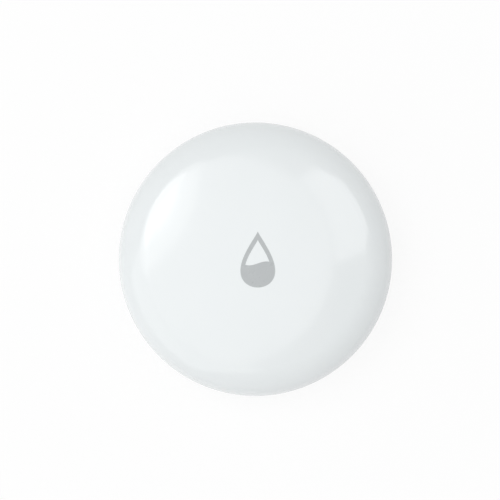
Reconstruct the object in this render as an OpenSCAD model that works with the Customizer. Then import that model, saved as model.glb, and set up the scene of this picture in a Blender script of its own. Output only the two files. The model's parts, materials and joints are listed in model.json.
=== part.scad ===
// Round water leak sensor: a domed white case that stands on four feet over two metal probes.
// Millimetres. +Z is up, the origin is on the floor under the middle, and the drop points along +Y.

/* [Case] */
// Overall diameter at the widest ring
body_d = 50; // [45:0.5:60]
// Overall height, from the floor to the top of the crown
body_h = 15; // [13.5:0.1:18]
// Height that the crown adds over the rounded top edge
crown_h = 1.5; // [1:0.1:2.5]
// Radius of the rounded top edge
rim_r = 6.5; // [5:0.1:7.2]
// Height of the straight side over the parting line
band_h = 2; // [1.6:0.1:2.4]
// Shadow gap between the base and the cover
parting_gap = 0.3; // [0.2:0.05:0.5]
// Height of the straight side under the parting line
base_side_h = 0.2; // [0.1:0.05:0.6]
// Wall of the top cover
cover_wall = 1.6; // [1.4:0.1:2]
// Thickness of the base's floor
base_floor = 1.6; // [1.4:0.1:2]
// Thickness of the base's lip inside the cover
lip_t = 1.4; // [1:0.1:1.8]
// Height of the lip above the parting line
lip_h = 2; // [1.8:0.1:2.3]

/* [Snap catches] */
// Number of catches around the lip
catch_count = 4; // [3:1:6]
// Angle that each catch covers, in degrees
catch_arc = 16; // [8:1:24]
// How far a catch stands out of the lip
catch_reach = 0.5; // [0.3:0.05:0.7]
// Height of a catch
catch_h = 0.9; // [0.7:0.1:1.1]

/* [Feet] */
// Diameter of a foot
foot_d = 3.2; // [2:0.1:4]
// Height of a foot, which is the gap that water runs into
foot_h = 0.6; // [0.4:0.05:1]
// Angle of a foot from the line through the probes, in degrees
foot_angle = 32; // [25:1:40]

/* [Press area] */
// Diameter of the flexing centre of the cover
press_d = 24; // [16:1:30]
// Thickness of the flexing centre
press_t = 1.2; // [0.8:0.1:1.5]
// Gap drawn around the flexing centre
press_gap = 0.12; // [0.08:0.01:0.2]
// Diameter of the post under the flexing centre
post_d = 4; // [3:0.1:5]

/* [Drop symbol] */
// Width of the drop
symbol_w = 6.2; // [5:0.1:8]
// Height of the drop
symbol_h = 10; // [8:0.1:12]
// Width of the drop's outline
symbol_line = 0.75; // [0.5:0.05:1]
// Depth of the drop's seat under the top of the crown
symbol_depth = 0.3; // [0.2:0.05:0.5]
// Height of the water line in the drop, from the drop's middle
water_y = -0.7; // [-1.5:0.1:0.5]
// Height of the wave in the water line, from its middle to a crest
wave_h = 0.35; // [0.1:0.05:0.6]

/* [Coin cell] */
// Diameter of the cell
cell_d = 20; // [18:0.5:22]
// Thickness of the cell
cell_h = 3.2; // [2.5:0.1:3.6]
// Width of the can's rim around the negative cap
cell_rim_w = 1.3; // [1:0.1:2]
// Height of the step from the can to the cap
cell_step = 0.3; // [0.2:0.05:0.5]

/* [Battery door] */
// Thickness of the door's plate
door_t = 1.6; // [1.5:0.1:2]
// Thickness of the door's skirt
skirt_t = 1.1; // [0.9:0.1:1.4]
// Thickness of the ledge that the lugs turn over
ledge_t = 1.2; // [0.8:0.1:1.4]
// Number of bayonet lugs
lug_count = 3; // [2:1:3]
// Angle that each lug covers, in degrees
lug_arc = 30; // [20:1:32]
// How far a lug stands out of the skirt
lug_reach = 1.1; // [0.9:0.1:1.4]
// Height of a lug
lug_h = 1; // [0.7:0.1:1.2]
// Angle that the door turns to open, in degrees
door_turn = 40; // [36:1:44]
// Width of the coin slot
slot_w = 2.2; // [1.8:0.1:2.6]
// Depth of the coin slot at its middle
slot_depth = 1; // [0.6:0.1:1.1]
// Radius of the slot's curved floor
slot_r = 20; // [14:1:30]
// Depth of the index marks
mark_depth = 0.25; // [0.15:0.05:0.4]
// Diameter of the index marks on the base
mark_d = 1.4; // [1:0.1:2]

/* [Seals] */
// Diameter of the door seal's section before it is squeezed
door_seal_d = 0.9; // [0.85:0.05:1.2]
// Depth of the door seal's groove
door_seal_depth = 0.7; // [0.5:0.05:0.75]
// Width of the case seal
case_seal_w = 0.8; // [0.5:0.05:0.9]
// Depth of the case seal's groove
case_seal_depth = 0.7; // [0.4:0.05:0.9]

/* [Probes] */
// Diameter of a probe's head
probe_head_d = 3; // [2.4:0.1:3.4]
// Height of a probe's head
probe_head_h = 1; // [0.8:0.1:1.2]
// How far a probe's head stands out of the underside
probe_proud = 0.3; // [0.1:0.05:0.35]
// Diameter of a probe's shank
probe_shank_d = 1.8; // [1.4:0.1:2]
// Height of the seal under a probe's head
probe_seal_h = 0.7; // [0.4:0.1:0.8]
// Width across the flats of a probe's nut
probe_nut_w = 3.4; // [3.2:0.1:4]
// Height of a probe's nut
probe_nut_h = 1.2; // [0.8:0.1:1.6]
// How far a shank stands out of its nut
shank_end = 0.4; // [0.2:0.1:0.8]

/* [Circuit board] */
// Thickness of the board
board_t = 1; // [0.8:0.1:1.6]
// Space for the contacts between the cell and the board
contact_space = 1.35; // [1.2:0.05:1.6]
// Gap between the board and the lip
board_gap = 1.3; // [0.6:0.1:1.5]
// Number of board screws
screw_count = 3; // [2:1:3]
// Diameter of a board screw's thread
screw_d = 1.6; // [1.4:0.1:2]
// Length of a board screw under its head
screw_l = 4.2; // [3:0.1:4.6]
// Diameter of a board screw's head
screw_head_d = 3; // [2.6:0.1:3.4]
// Height of a board screw's head
screw_head_h = 1; // [0.8:0.1:1.3]
// Thickness of the spring strip of the battery contacts
strip_t = 0.2; // [0.15:0.05:0.3]
// Width of the spring strip of the battery contacts
strip_w = 4; // [3:0.1:5]

/* [Switch] */
// Width of the switch's housing
switch_w = 6; // [5:0.1:7]
// Height of the switch's housing
switch_h = 3.5; // [2.5:0.1:3.8]
// Diameter of the switch's plunger
plunger_d = 3.4; // [3:0.1:3.8]
// How far the plunger stands out of the housing
plunger_h = 0.8; // [0.5:0.1:1]
// Travel of the plunger down to where the switch closes
switch_travel = 0.25; // [0.15:0.05:0.4]
// Travel of the plunger past that point, down to the floor of its well
switch_overtravel = 0.15; // [0.1:0.05:0.3]

/* [Hidden] */
$fn = 96;

// Clearances
eps = 0.05;           // overlap of shapes that are one solid
seat_gap = 0.05;      // between faces that meet but don't slide
running_gap = 0.1;    // between faces that slide past each other
turn_gap = 0.15;      // around the door in its well
bore_gap = 0.2;       // around the skirt, the lip and the holes in the board
lug_gap = 0.2;        // around a lug in its notch
lug_gap_arc = 4;      // beside a lug in its notch, in degrees
stop_gap_arc = 1;     // between a lug and its stop, in degrees
stop_arc = 3;         // width of a stop, in degrees
thread_gap = 0.02;    // between a thread and its hole

// Colours
white_gloss = [0.92, 0.94, 0.945];
white_satin = [0.88, 0.89, 0.89];
print_grey = [0.73, 0.75, 0.75];
seal_grey = [0.6, 0.62, 0.63];
steel = [0.78, 0.78, 0.76];
board_green = [0.1, 0.35, 0.22];
chip_black = [0.08, 0.08, 0.09];
copper = [0.8, 0.5, 0.3];

// Outer form: the crown is a sphere that runs tangent into the rounded edge
body_r = body_d / 2;
rim_x = body_r - rim_r;
crown_rise = crown_h + rim_r;
crown_r = (pow(rim_x, 2) + pow(crown_rise, 2) - pow(rim_r, 2)) / (2 * crown_h);
crown_sin = rim_x / (crown_r - rim_r);
function crown_fall(r) = crown_r - sqrt(pow(crown_r, 2) - pow(r, 2));
widest_z = body_h - crown_rise;
parting_z = widest_z - band_h;
cover_z = parting_z + parting_gap;
base_edge_z = parting_z - base_side_h;
base_edge_r = base_edge_z - foot_h;
flat_r = body_r - base_edge_r;
floor_z = foot_h + base_floor;
lip_r = body_r - cover_wall - bore_gap;
cavity_r = lip_r - lip_t;
lip_top_z = parting_z + lip_h;
catch_rise = 0.55;
catch_z = cover_z + catch_rise;

// Battery door, from the cell outwards and upwards
cell_r = cell_d / 2;
cell_side_gap = 0.4;
skirt_in_r = cell_r + cell_side_gap;
skirt_r = skirt_in_r + skirt_t;
ledge_r = skirt_r + bore_gap;
lug_r = skirt_r + lug_reach;
notch_r = lug_r + lug_gap;
door_seal_in_r = notch_r + bore_gap;
door_seal_out_r = door_seal_in_r + door_seal_d + 2 * seat_gap;
door_rim_w = 0.6;
door_r = door_seal_out_r + door_rim_w;
well_r = door_r + turn_gap;
collar_w = 0.7;
collar_r = well_r + collar_w;
door_top_z = foot_h + door_t;
ledge_z = door_top_z + running_gap;
ledge_top_z = ledge_z + ledge_t;
lug_z = ledge_top_z + running_gap;
skirt_top_z = lug_z + lug_h;
lug_pitch = 360 / lug_count;

// Ring on the underside that holds the probes, the feet and the marks
land_r = (well_r + flat_r) / 2;
index_angle = 90;
open_angle = index_angle - door_turn;

// Heights of the stack over the door
cell_z = door_top_z + seat_gap;
cell_top_z = cell_z + cell_h;
board_z = cell_top_z + contact_space;
board_top_z = board_z + board_t;
board_r = cavity_r - board_gap;
switch_top_z = board_top_z + switch_h;
plunger_top_z = switch_top_z + plunger_h;
plunger_seat = 0.6;
cradle_side_gap = 0.25;
cradle_wall = 1.4;
cradle_z = skirt_top_z + bore_gap;

// Probes and screws
probe_tip_z = foot_h - probe_proud;
probe_head_top_z = probe_tip_z + probe_head_h;
probe_seal_top_z = probe_head_top_z + probe_seal_h;
probe_well_d = probe_head_d + bore_gap;
probe_bore_d = probe_shank_d + bore_gap;
probe_boss_wall = 0.8;
probe_boss_d = probe_well_d + 2 * probe_boss_wall;
probe_angles = [0, 180];
first_screw_angle = 30;
screw_angles = [for (i = [0:screw_count - 1]) first_screw_angle + i * 360 / screw_count];
screw_boss_wall = 1.3;
screw_boss_d = screw_d + 2 * screw_boss_wall;
screw_end_z = board_top_z - screw_l;
foot_angles = [foot_angle, 180 - foot_angle, 180 + foot_angle, 360 - foot_angle];

// Chips on the board: place, size
radio_size = [6, 6, 0.9];
radio_at = [-9.5, 5];
crystal_size = [3.2, 2.5, 0.8];
crystal_at = [-9.5, -1.2];
led_size = [2, 1.25, 0.7];
led_gap = 1.6;
led_at = [0, -switch_w / 2 - led_gap - led_size.y / 2];
capacitor_size = [1.2, 0.7, 0.6];
capacitor_pitch = 2;
capacitor_rows = 2;
capacitor_columns = 4;
capacitors_at = [6.5, -9];

// Antenna: a folded copper trace along the edge of the board
antenna_t = 0.1;
antenna_line = 0.6;
antenna_pitch = 1.8;
antenna_turns = 4;
antenna_h = 3;
antenna_w = 2 * antenna_turns * antenna_pitch + antenna_line;
antenna_edge_gap = 1;
antenna_y = sqrt(pow(board_r - antenna_edge_gap, 2) - pow(antenna_w / 2, 2)) - antenna_h;

// A ring, or a part of one that covers an arc about an angle
module ring(r_in, r_out, z0, z1) {
    rotate_extrude() translate([r_in, z0]) square([r_out - r_in, z1 - z0]);
}

module arc_block(r_in, r_out, z0, z1, middle, arc) {
    rotate([0, 0, middle - arc / 2])
        rotate_extrude(angle = arc) translate([r_in, z0]) square([r_out - r_in, z1 - z0]);
}

module at_angles(angles, r = land_r) {
    for (a = angles) rotate([0, 0, a]) translate([r, 0, 0]) children();
}

module block(size, at, z) {
    translate([at.x - size.x / 2, at.y - size.y / 2, z]) cube(size);
}

// Half section of the crown's sphere, taken in by an inset, out to a radius
module crown_half(inset, r_out) {
    intersection() {
        translate([0, body_h - crown_r]) circle(r = crown_r - inset, $fn = 720);
        square([r_out, body_h]);
    }
}

// Half section of the dome, taken in by an inset: crown, rounded edge and the straight side under it
module dome_half(inset) {
    crown_half(inset, (crown_r - inset) * crown_sin);
    intersection() {
        translate([rim_x, widest_z]) circle(r = rim_r - inset);
        square([body_r, body_h]);
    }
    square([body_r - inset, widest_z]);
}

// Half section of the bowl under the parting line
module bowl_half() {
    intersection() {
        translate([flat_r, base_edge_z]) circle(r = base_edge_r);
        square([body_r, parting_z]);
    }
    translate([0, foot_h]) square([flat_r, parting_z - foot_h]);
    translate([0, base_edge_z]) square([body_r, base_side_h]);
}

// A drop of a given size about the origin, tip up
module drop_outline(w, h) {
    steps = 48;
    taper = 4 / 3;
    widest = 2 * pow((taper + 1) / (taper + 2), (taper + 1) / 2) * sqrt(1 / (taper + 2));
    polygon([for (i = [0:steps - 1]) let (t = 360 * i / steps)
        [w / 2 * sin(t) * pow(sin(t / 2), taper) / widest, h / 2 * cos(t)]]);
}

// Everything under the wavy water line, wider and deeper than the drop
module water_outline() {
    steps = 24;
    wave_l = symbol_w;
    crest = [for (i = [0:steps]) let (x = wave_l * (i / steps - 0.5))
        [x, water_y + wave_h * sin(360 * x / wave_l)]];
    polygon(concat([[-wave_l / 2, -symbol_h]], crest, [[wave_l / 2, -symbol_h]]));
}

// The drop's outline with water standing in it
module drop_mark() {
    difference() {
        drop_outline(symbol_w, symbol_h);
        difference() {
            translate([0, -symbol_line / 2]) drop_outline(symbol_w - 2 * symbol_line, symbol_h - 3 * symbol_line);
            water_outline();
        }
    }
}

module base_shell() {
    color(white_satin) difference() {
        union() {
            difference() {
                rotate_extrude() bowl_half();
                translate([0, 0, floor_z]) cylinder(r = cavity_r, h = parting_z);
            }
            ring(cavity_r, lip_r, floor_z - eps, lip_top_z);
            ring(ledge_r, collar_r, floor_z - eps, ledge_top_z);
            lip_catches();
            door_stops();
            at_angles(foot_angles) cylinder(d = foot_d, h = foot_h + eps);
            at_angles(probe_angles) translate([0, 0, floor_z - eps])
                cylinder(d = probe_boss_d, h = board_z - floor_z + eps);
            at_angles(screw_angles) translate([0, 0, floor_z - eps])
                cylinder(d = screw_boss_d, h = board_z - floor_z + eps);
        }
        translate([0, 0, -eps]) cylinder(r = well_r, h = ledge_z + eps);
        cylinder(r = ledge_r, h = lip_top_z);
        for (i = [0:lug_count - 1])
            arc_block(ledge_r - eps, notch_r, ledge_z - eps, ledge_top_z + eps,
                i * lug_pitch - door_turn, lug_arc + 2 * lug_gap_arc);
        case_seal_groove();
        probe_wells();
        at_angles(screw_angles) translate([0, 0, screw_end_z - bore_gap])
            cylinder(d = screw_d + 2 * thread_gap, h = screw_l);
        closed_and_open_marks();
    }
}

// Sloped catches outside the lip that hold the cover down
module lip_catches() {
    for (i = [0:catch_count - 1]) rotate([0, 0, (i + 0.5) * 360 / catch_count - catch_arc / 2])
        rotate_extrude(angle = catch_arc) polygon([
            [lip_r - eps, catch_z],
            [lip_r + catch_reach, catch_z],
            [lip_r + catch_reach, catch_z + catch_h / 3],
            [lip_r - eps, catch_z + catch_h]
        ]);
}

// Stops on the ledge at both ends of each lug's turn
module door_stops() {
    closed_side = lug_arc / 2 + stop_gap_arc + stop_arc / 2;
    open_side = -door_turn - lug_arc / 2 - lug_gap_arc - stop_arc / 2;
    for (i = [0:lug_count - 1], a = [closed_side, open_side])
        arc_block(ledge_r + bore_gap, notch_r, ledge_top_z - eps, skirt_top_z, i * lug_pitch + a, stop_arc);
}

module case_seal_groove() {
    middle = (lip_r + body_r) / 2;
    half = case_seal_w / 2 + seat_gap;
    ring(middle - half, middle + half, parting_z - case_seal_depth, parting_z + eps);
}

// Counterbores for the probe heads and seals, and bores for the shanks
module probe_wells() {
    at_angles(probe_angles) {
        cylinder(d = probe_well_d, h = probe_seal_top_z);
        cylinder(d = probe_bore_d, h = board_z + eps);
    }
}

// Shallow marks on the underside: a dot where the door is closed, a ring where it is open
module closed_and_open_marks() {
    at_angles([index_angle]) cylinder(d = mark_d, h = foot_h + mark_depth);
    at_angles([open_angle]) difference() {
        cylinder(d = mark_d, h = foot_h + mark_depth);
        translate([0, 0, -eps]) cylinder(d = mark_d / 2, h = foot_h + mark_depth + 2 * eps);
    }
}

module top_cover() {
    pocket_gap = bore_gap / 2;
    color(white_gloss) difference() {
        rotate_extrude() difference() {
            dome_half(0);
            square([body_r + 1, cover_z]);
        }
        rotate_extrude() dome_half(cover_wall);
        cylinder(d = press_d + 2 * press_gap, h = body_h + 1);
        for (i = [0:catch_count - 1])
            arc_block(lip_r, lip_r + catch_reach + pocket_gap, catch_z - pocket_gap, catch_z + catch_h + pocket_gap,
                (i + 0.5) * 360 / catch_count, catch_arc + 2 * lug_gap_arc);
    }
}

module case_seal() {
    middle = (lip_r + body_r) / 2;
    color(seal_grey)
        ring(middle - case_seal_w / 2, middle + case_seal_w / 2, parting_z - case_seal_depth, cover_z);
}

// The thin centre of the cover, with the post that works the switch
module press_pad() {
    color(white_gloss) difference() {
        rotate_extrude() {
            difference() {
                crown_half(0, press_d / 2);
                crown_half(press_t, press_d);
            }
            translate([0, plunger_top_z + seat_gap])
                square([post_d / 2, body_h - press_t + eps - plunger_top_z - seat_gap]);
        }
        translate([0, 0, body_h - symbol_depth]) linear_extrude(symbol_depth + 1) drop_mark();
    }
}

// The printed drop: a flat film that comes level with the crown at its two ends
module drop_symbol() {
    color(print_grey) translate([0, 0, body_h - symbol_depth])
        linear_extrude(symbol_depth - crown_fall(symbol_h / 2)) drop_mark();
}

module battery_door() {
    color(white_satin) difference() {
        union() {
            translate([0, 0, foot_h]) cylinder(r = door_r, h = door_t);
            ring(skirt_in_r, skirt_r, door_top_z - eps, skirt_top_z);
            for (i = [0:lug_count - 1])
                arc_block(skirt_r - eps, lug_r, lug_z, skirt_top_z, i * lug_pitch, lug_arc);
        }
        ring(door_seal_in_r, door_seal_out_r, door_top_z - door_seal_depth, door_top_z + eps);
        coin_slot();
        index_arrow();
    }
}

// A slot with a curved floor, as the edge of a coin leaves it
module coin_slot() {
    translate([0, slot_w / 2, foot_h + slot_depth - slot_r]) rotate([90, 0, 0]) cylinder(r = slot_r, h = slot_w);
}

// A shallow triangle by the door's edge that points at the marks on the base
module index_arrow() {
    arrow_l = 1.6;
    arrow_w = 2.2;
    tip = door_r - door_rim_w;
    rotate([0, 0, index_angle]) translate([0, 0, foot_h - eps]) linear_extrude(mark_depth + eps)
        polygon([[tip, 0], [tip - arrow_l, arrow_w / 2], [tip - arrow_l, -arrow_w / 2]]);
}

// A round seal, flattened between the groove and the roof of the well
module door_seal() {
    middle = (door_seal_in_r + door_seal_out_r) / 2;
    z0 = door_top_z - door_seal_depth + seat_gap / 2;
    z1 = ledge_z - seat_gap / 2;
    color(seal_grey) rotate_extrude() intersection() {
        translate([middle, (z0 + z1) / 2]) circle(d = door_seal_d);
        translate([middle - door_seal_d, z0]) square([2 * door_seal_d, z1 - z0]);
    }
}

// Can with its flat positive face down, and the smaller negative cap on top
module coin_cell() {
    color(steel) {
        translate([0, 0, cell_z]) cylinder(r = cell_r, h = cell_h - cell_step);
        translate([0, 0, cell_z]) cylinder(r = cell_r - cell_rim_w, h = cell_h);
    }
}

// Frame under the board that keeps the cell in the middle, open where the side contact passes
module battery_cradle() {
    cradle_in_r = cell_r + cradle_side_gap;
    color(chip_black) difference() {
        ring(cradle_in_r, cradle_in_r + cradle_wall, cradle_z, board_z);
        translate([-strip_w / 2 - bore_gap, 0, cradle_z - eps])
            cube([strip_w + 2 * bore_gap, cradle_in_r + cradle_wall + 1, board_z - cradle_z + 2 * eps]);
    }
}

// Bent strip from the board down to the cap in the middle of the cell
module negative_contact() {
    foot_x = -7;
    bend_x = -4;
    touch_x = 0.2;
    tail_x = 1.6;
    tail_z = cell_top_z + 0.45;
    color(steel) translate([0, strip_w / 2, 0]) rotate([90, 0, 0]) linear_extrude(strip_w) polygon([
        [foot_x, board_z],
        [bend_x, board_z],
        [0, cell_top_z + strip_t],
        [tail_x, tail_z + strip_t],
        [tail_x, tail_z],
        [touch_x, cell_top_z],
        [-touch_x, cell_top_z],
        [bend_x, board_z - strip_t],
        [foot_x, board_z - strip_t]
    ]);
}

// Angled strip from the board down the side of the can
module positive_contact() {
    face_y = cell_r + seat_gap;
    foot_l = 2.6;
    color(steel) rotate([90, 0, 90]) translate([0, 0, -strip_w / 2]) linear_extrude(strip_w) polygon([
        [face_y, cradle_z],
        [face_y, board_z],
        [face_y + foot_l, board_z],
        [face_y + foot_l, board_z - strip_t],
        [face_y + strip_t, board_z - strip_t],
        [face_y + strip_t, cradle_z]
    ]);
}

module probe_pins() {
    edge = probe_proud / 2;
    color(steel) at_angles(probe_angles) {
        translate([0, 0, probe_tip_z]) cylinder(d1 = probe_head_d - 2 * edge, d2 = probe_head_d, h = edge);
        translate([0, 0, probe_tip_z + edge]) cylinder(d = probe_head_d, h = probe_head_h - edge);
        translate([0, 0, probe_tip_z + edge])
            cylinder(d = probe_shank_d, h = board_top_z + probe_nut_h + shank_end - probe_tip_z - edge);
    }
}

module probe_seals() {
    color(seal_grey) at_angles(probe_angles)
        ring(probe_shank_d / 2 + seat_gap, probe_head_d / 2, probe_head_top_z, probe_seal_top_z);
}

module probe_nuts() {
    color(steel) at_angles(probe_angles) translate([0, 0, board_top_z]) difference() {
        cylinder(d = probe_nut_w / cos(30), h = probe_nut_h, $fn = 6);
        translate([0, 0, -eps]) cylinder(d = probe_shank_d + 2 * thread_gap, h = probe_nut_h + 2 * eps);
    }
}

module circuit_board() {
    color(board_green) translate([0, 0, board_z]) difference() {
        cylinder(r = board_r, h = board_t);
        translate([0, 0, -eps]) {
            at_angles(probe_angles) cylinder(d = probe_bore_d, h = board_t + 2 * eps);
            at_angles(screw_angles) cylinder(d = screw_d + bore_gap, h = board_t + 2 * eps);
        }
    }
}

// Pan head screws with a cross recess
module board_screws() {
    recess_w = screw_head_d / 6;
    recess_l = screw_head_d * 0.6;
    recess_depth = screw_head_h / 2;
    color(steel) at_angles(screw_angles) translate([0, 0, board_top_z]) difference() {
        union() {
            cylinder(d = screw_head_d, h = screw_head_h);
            translate([0, 0, -screw_l]) cylinder(d = screw_d, h = screw_l + eps);
        }
        for (a = [0, 90]) rotate([0, 0, a])
            translate([-recess_l / 2, -recess_w / 2, screw_head_h - recess_depth])
                cube([recess_l, recess_w, recess_depth + eps]);
    }
}

module radio_chip() {
    color(chip_black) block(radio_size, radio_at, board_top_z);
}

module crystal() {
    color(steel) block(crystal_size, crystal_at, board_top_z);
}

module status_led() {
    color("white") block(led_size, led_at, board_top_z);
}

module chip_capacitors() {
    color([0.72, 0.6, 0.45]) for (i = [0:capacitor_columns - 1], j = [0:capacitor_rows - 1])
        block(capacitor_size, capacitors_at + capacitor_pitch * [i, j], board_top_z);
}

// Folds of copper: straight runs joined in turn at the top and the bottom
module antenna() {
    color(copper) translate([-antenna_w / 2, antenna_y, board_top_z]) linear_extrude(antenna_t) {
        for (i = [0:2 * antenna_turns])
            translate([i * antenna_pitch, 0]) square([antenna_line, antenna_h]);
        for (i = [0:2 * antenna_turns - 1])
            translate([i * antenna_pitch, i % 2 == 0 ? antenna_h - antenna_line : 0])
                square([antenna_pitch + antenna_line, antenna_line]);
    }
}

module switch_housing() {
    well = plunger_seat + switch_travel + switch_overtravel;
    color(chip_black) difference() {
        block([switch_w, switch_w, switch_h], [0, 0], board_top_z);
        translate([0, 0, switch_top_z - well]) cylinder(d = plunger_d + bore_gap, h = well + eps);
    }
}

module switch_plunger() {
    color([0.3, 0.3, 0.32]) translate([0, 0, switch_top_z - plunger_seat])
        cylinder(d = plunger_d, h = plunger_seat + plunger_h);
}

base_shell();
top_cover();
case_seal();
press_pad();
drop_symbol();
battery_door();
door_seal();
coin_cell();
battery_cradle();
negative_contact();
positive_contact();
probe_pins();
probe_seals();
probe_nuts();
circuit_board();
board_screws();
radio_chip();
crystal();
antenna();
chip_capacitors();
status_led();
switch_housing();
switch_plunger();
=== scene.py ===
import json
import math

import bmesh
import bpy
from mathutils import Matrix, Vector


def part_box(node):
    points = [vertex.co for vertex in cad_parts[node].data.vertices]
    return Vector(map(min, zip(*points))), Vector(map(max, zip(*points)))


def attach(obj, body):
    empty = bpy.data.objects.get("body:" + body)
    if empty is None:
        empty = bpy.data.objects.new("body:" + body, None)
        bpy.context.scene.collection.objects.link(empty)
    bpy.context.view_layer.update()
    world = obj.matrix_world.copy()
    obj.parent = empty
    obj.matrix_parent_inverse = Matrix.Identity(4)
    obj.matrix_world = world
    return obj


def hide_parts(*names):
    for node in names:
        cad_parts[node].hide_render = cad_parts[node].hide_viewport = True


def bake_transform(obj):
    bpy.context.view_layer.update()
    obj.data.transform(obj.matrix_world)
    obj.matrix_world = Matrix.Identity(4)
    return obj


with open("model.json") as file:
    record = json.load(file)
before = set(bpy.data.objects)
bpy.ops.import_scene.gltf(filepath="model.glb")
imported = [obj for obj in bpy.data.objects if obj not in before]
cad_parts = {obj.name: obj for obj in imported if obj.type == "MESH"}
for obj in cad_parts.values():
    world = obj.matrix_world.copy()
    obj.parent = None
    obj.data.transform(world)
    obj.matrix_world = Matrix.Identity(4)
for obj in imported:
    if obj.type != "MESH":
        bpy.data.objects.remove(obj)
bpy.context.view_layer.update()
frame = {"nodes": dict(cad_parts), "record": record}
scene = bpy.context.scene
scene.view_settings.view_transform = "Standard"
mm = 0.001  # sizes in the dictionaries below are in millimetres, only the studio's are in metres
print("frame loaded:", len(frame["nodes"]), "nodes")


# adds one node: sockets by name or number, a socket as value makes a link, the rest are properties
def addNode(tree, kind, sockets=None, **settings):
    node = tree.nodes.new(kind)
    for name, value in settings.items():
        setattr(node, name, value)
    for name, value in (sockets or {}).items():
        if isinstance(value, bpy.types.NodeSocket):
            tree.links.new(value, node.inputs[name])
        else:
            node.inputs[name].default_value = value
    return node


# the node tree of a material, a world or a lamp, with nothing in it
def emptyTree(owner):
    owner.use_nodes = True
    owner.node_tree.nodes.clear()
    return owner.node_tree


# sRGB hex to linear RGBA
def hexColor(code):
    linear = []
    for at in (1, 3, 5):
        part = int(code[at:at + 2], 16) / 255
        linear.append(part / 12.92 if part <= 0.04045 else ((part + 0.055) / 1.055) ** 2.4)
    return (*linear, 1.0)


# points of an arc in the half plane of a turned piece, angles in degrees from the outward direction
def arcPoints(centre, radius, first, last, steps):
    points = []
    for i in range(steps + 1):
        angle = math.radians(first + (last - first) * i / steps)
        points.append((centre[0] + radius * math.cos(angle), centre[1] + radius * math.sin(angle)))
    return points


# Camera: nearly straight down, leaned a little so that the drop sits right of the outline's middle
cameraView = {
    "lens": 120.0,
    "sensor": 36.0,
    "imageSide": 500,
    "outlineRadius": 136.7,  # pixels
    "outlineMiddle": (255.7, 259.2),  # pixels from the upper left
    "caseRadius": 25.0,
    "widestHeight": 7.0,
    "lean": 2.5,  # degrees
    "clipStart": 10.0,
}


def makeCamera(view):
    pixel = view["caseRadius"] / view["outlineRadius"]
    half = view["imageSide"] / 2
    distance = view["lens"] * view["imageSide"] * pixel / view["sensor"]
    lean = math.radians(view["lean"])
    aim = Vector((
        (half - view["outlineMiddle"][0]) * pixel,
        (view["outlineMiddle"][1] - half) * pixel,
        view["widestHeight"],
    ))
    data = bpy.data.cameras.new("photoCamera")
    data.lens = view["lens"]
    data.sensor_width = view["sensor"]
    data.clip_start = view["clipStart"] * mm
    camera = bpy.data.objects.new("photoCamera", data)
    camera.location = (aim + Vector((-math.sin(lean), 0, math.cos(lean))) * distance) * mm
    camera.rotation_euler = (0, -lean, 0)
    scene.collection.objects.link(camera)
    scene.camera = camera


makeCamera(cameraView)
print("camera set")


noiseRange = (0.3, 0.7)  # nearly all values of a noise texture lie between these
lineDrift = 0.04  # how much the fine lines in metal wander along their length
lineShine = 0.3  # how far such lines stretch a highlight


# a material with its shader, object coordinates in metres and the tree to add to
def startMaterial(name, look):
    material = bpy.data.materials.new(name)
    tree = emptyTree(material)
    shader = addNode(tree, "ShaderNodeBsdfPrincipled", {"Metallic": look.get("metallic", 0.0)})
    if "ior" in look:
        shader.inputs["IOR"].default_value = look["ior"]
    addNode(tree, "ShaderNodeOutputMaterial", {"Surface": shader.outputs["BSDF"]})
    place = addNode(tree, "ShaderNodeTexCoord").outputs["Object"]
    return material, tree, shader, place


# colour, roughness and bump that follow one pattern each
def finishShader(tree, shader, look, pattern, wear, height):
    tint = addNode(tree, "ShaderNodeMix", {
        0: pattern,
        6: hexColor(look["colour"]),
        7: hexColor(look["patternColour"]),
    }, data_type="RGBA")
    gloss = addNode(tree, "ShaderNodeMapRange", {
        "Value": wear,
        "From Min": noiseRange[0],
        "From Max": noiseRange[1],
        "To Min": look["rough"][0],
        "To Max": look["rough"][1],
    })
    relief = addNode(tree, "ShaderNodeBump", {
        "Strength": 1.0,
        "Distance": look["bumpHeight"] * mm,
        "Height": height,
    })
    tree.links.new(tint.outputs[2], shader.inputs["Base Color"])
    tree.links.new(gloss.outputs["Result"], shader.inputs["Roughness"])
    tree.links.new(relief.outputs["Normal"], shader.inputs["Normal"])


# moulded, printed and cast surfaces: soft clouds in the colour, grain in the relief
def makeMoulded(name, look):
    material, tree, shader, place = startMaterial(name, look)
    cloud = addNode(tree, "ShaderNodeTexNoise", {
        "Vector": place,
        "Scale": 1 / (look["cloudSize"] * mm),
        "Detail": 3.0,
    })
    grain = addNode(tree, "ShaderNodeTexNoise", {
        "Vector": place,
        "Scale": 1 / (look["grainSize"] * mm),
        "Detail": look.get("grainDetail", 2.0),
        "Roughness": 0.55,
    })
    shader.inputs["Coat Weight"].default_value = look.get("coat", 0.0)
    shader.inputs["Coat Roughness"].default_value = look.get("coatRough", 0.03)
    shader.inputs["Sheen Weight"].default_value = look.get("sheen", 0.0)
    finishShader(tree, shader, look, cloud.outputs["Fac"], cloud.outputs["Fac"], grain.outputs["Fac"])
    return material


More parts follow.
